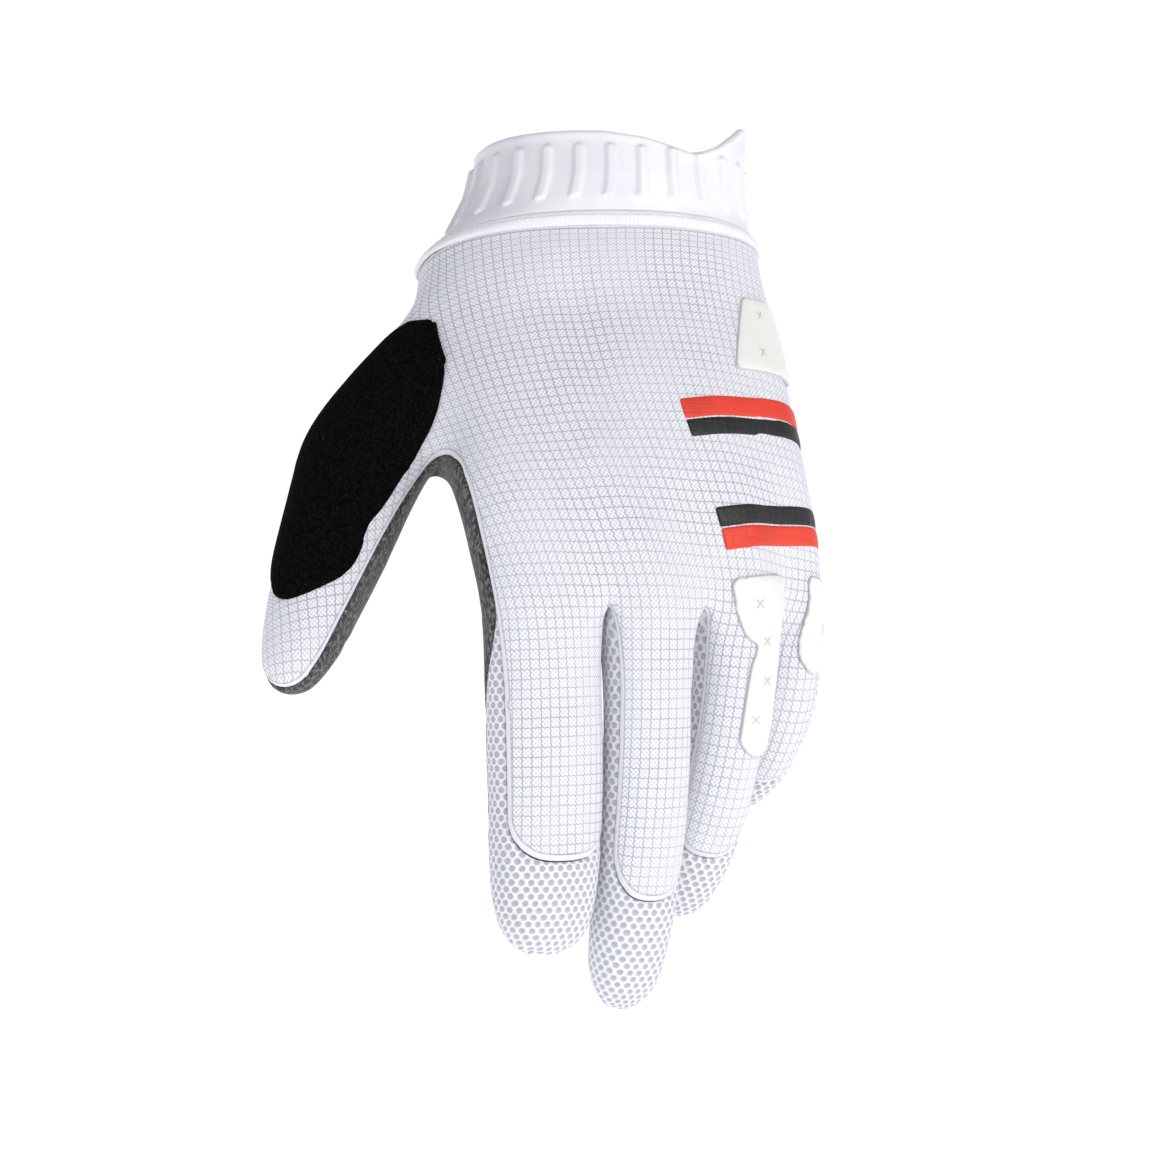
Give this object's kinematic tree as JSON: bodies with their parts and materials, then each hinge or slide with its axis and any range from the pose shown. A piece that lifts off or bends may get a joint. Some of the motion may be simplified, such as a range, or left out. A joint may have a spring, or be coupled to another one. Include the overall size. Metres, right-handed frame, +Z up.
{
  "type": "mountain bike glove",
  "caption": "Left-hand mountain bike glove with a white grid-knit back, moulded rubber cuff, black terry thumb patch, grey palm and red and black stripes.",
  "frame": {"origin": "middle of the cuff's opening, where the wrist goes in", "axes": "+Z up along the forearm of a hand that hangs down, -Y out of the back of the hand, -X towards the thumb"},
  "size_m": [0.1349, 0.0988, 0.2084],
  "materials": {
    "white_knit": "grid-knitted polyester, matt",
    "white_mesh": "honeycomb spacer mesh, matt",
    "grey_microfibre": "heather synthetic suede, matt",
    "black_terry": "looped terry, matt",
    "white_rubber": "moulded, satin",
    "cream_rubber": "moulded, satin",
    "red_print": "smooth print, satin",
    "black_print": "smooth print, satin"
  },
  "bodies": {
    "root": {"back_panel": "white_knit", "cuff": "white_rubber", "cuff_binding": "white_knit", "hand_edge_pad": "cream_rubber", "index_mesh": "white_mesh", "little_finger_pad": "cream_rubber", "little_mesh": "white_mesh", "middle_mesh": "white_mesh", "palm_panel": "grey_microfibre", "ring_finger_pad": "cream_rubber", "ring_mesh": "white_mesh", "stripe_black_lower": "black_print", "stripe_black_upper": "black_print", "stripe_red_lower": "red_print", "stripe_red_upper": "red_print", "thumb_wipe": "black_terry"}
  },
  "joints": []
}
